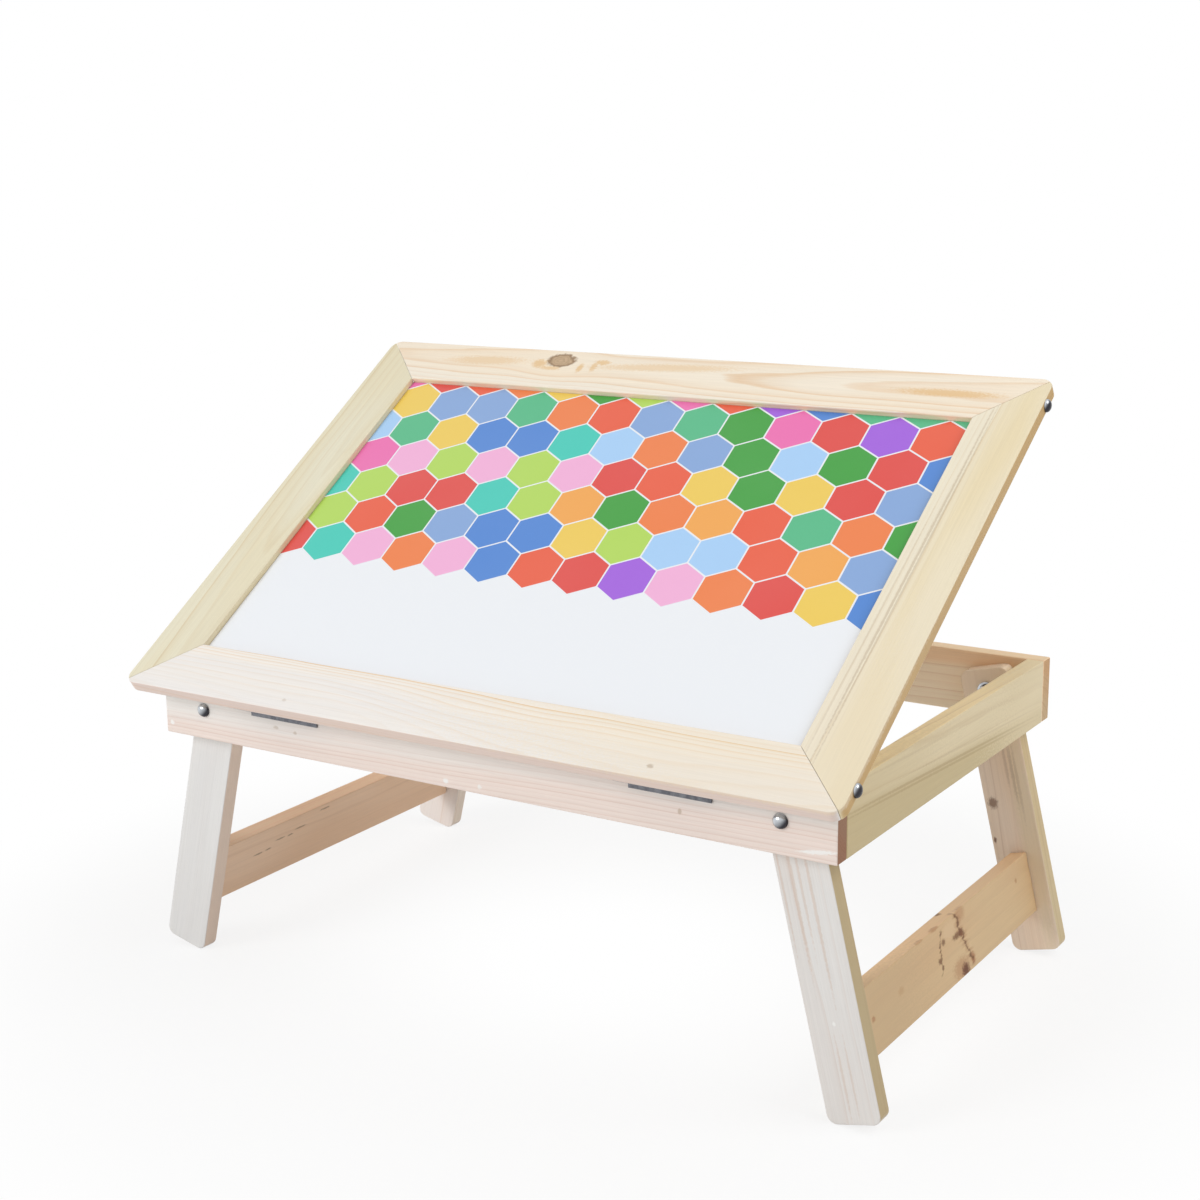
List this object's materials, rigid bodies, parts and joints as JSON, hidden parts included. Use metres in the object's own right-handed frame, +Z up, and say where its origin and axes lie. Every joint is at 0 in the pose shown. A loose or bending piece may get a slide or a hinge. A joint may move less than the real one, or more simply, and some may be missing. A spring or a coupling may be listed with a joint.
{
  "type": "folding study table",
  "caption": "Low wooden bed and floor table: a framed writing board tilts on a rail base, held by a hinged prop, and splayed leg pairs fold flat into the base.",
  "frame": {"origin": "on the floor, under the middle of the table as it stands with its legs open and its tray tilted", "axes": "+X along the table to the user's right, +Y away from the user, +Z up"},
  "size_m": [0.6344, 0.4125, 0.4615],
  "materials": {
    "pine": "pale yellow planed pine, thin clear lacquer",
    "pine_rail": "pinkish planed pine, thin clear lacquer",
    "pine_leg": "pale grey-white planed pine",
    "pine_stretcher": "tan planed pine with knots",
    "laminate": "thin board with a smooth white printed laminate face",
    "zinc": "zinc-plated steel",
    "rubber": "matt black rubber"
  },
  "bodies": {
    "base": {"front_rail": "pine_rail", "rear_rail": "pine_rail", "left_rail": "pine_rail", "right_rail": "pine_rail", "prop_rest_bar": "pine_rail", "front_left_pivot_bolt": "zinc", "front_left_washer": "zinc", "front_left_nut": "zinc", "front_right_pivot_bolt": "zinc", "front_right_washer": "zinc", "front_right_nut": "zinc", "rear_left_pivot_bolt": "zinc", "rear_left_washer": "zinc", "rear_left_nut": "zinc", "rear_right_pivot_bolt": "zinc", "rear_right_washer": "zinc", "rear_right_nut": "zinc", "left_hinge_rail_leaf": "zinc", "left_hinge_pin": "zinc", "left_rail_leaf_screw_1": "zinc", "left_rail_leaf_screw_2": "zinc", "left_rail_leaf_screw_3": "zinc", "right_hinge_rail_leaf": "zinc", "right_hinge_pin": "zinc", "right_rail_leaf_screw_1": "zinc", "right_rail_leaf_screw_2": "zinc", "right_rail_leaf_screw_3": "zinc"},
    "tray": {"tray_front_member": "pine", "tray_rear_member": "pine", "tray_left_member": "pine", "tray_right_member": "pine", "writing_board": "laminate", "tray_batten": "pine", "front_left_tray_screw": "zinc", "front_right_tray_screw": "zinc", "rear_left_tray_screw": "zinc", "rear_right_tray_screw": "zinc", "left_hinge_tray_leaf": "zinc", "left_tray_leaf_screw_1": "zinc", "left_tray_leaf_screw_2": "zinc", "left_tray_leaf_screw_3": "zinc", "right_hinge_tray_leaf": "zinc", "right_tray_leaf_screw_1": "zinc", "right_tray_leaf_screw_2": "zinc", "right_tray_leaf_screw_3": "zinc", "clevis_screw_1": "zinc", "clevis_screw_2": "zinc", "prop_clevis": "zinc", "prop_pin": "zinc"},
    "prop": {"prop_strut": "pine", "prop_shoe": "rubber"},
    "left_legs": {"left_front_leg": "pine_leg", "left_rear_leg": "pine_leg", "left_stretcher": "pine_stretcher"},
    "right_legs": {"right_front_leg": "pine_leg", "right_rear_leg": "pine_leg", "right_stretcher": "pine_stretcher"}
  },
  "joints": [
    {"name": "tray_tilt", "type": "hinge", "parent": "base", "child": "tray", "pos_m": [0, -0.18088, 0.2343], "axis": [1, 0, 0], "range_deg": [-33, 12]},
    {"name": "prop_swing", "type": "hinge", "parent": "tray", "child": "prop", "pos_m": [0, -0.03371, 0.31246], "axis": [1, 0, 0], "range_deg": [-22.76, 62.58]},
    {"name": "left_leg_fold", "type": "hinge", "parent": "base", "child": "left_legs", "pos_m": [-0.24948, 0.01212, 0.2105], "axis": [0, -1, 0], "range_deg": [0, 103.5]},
    {"name": "right_leg_fold", "type": "hinge", "parent": "base", "child": "right_legs", "pos_m": [0.24948, 0.01212, 0.2105], "axis": [0, 1, 0], "range_deg": [0, 103.5]}
  ],
  "couplings": [
    {"joint": "prop_swing", "follows": "tray_tilt", "ratio": -1.896}
  ]
}
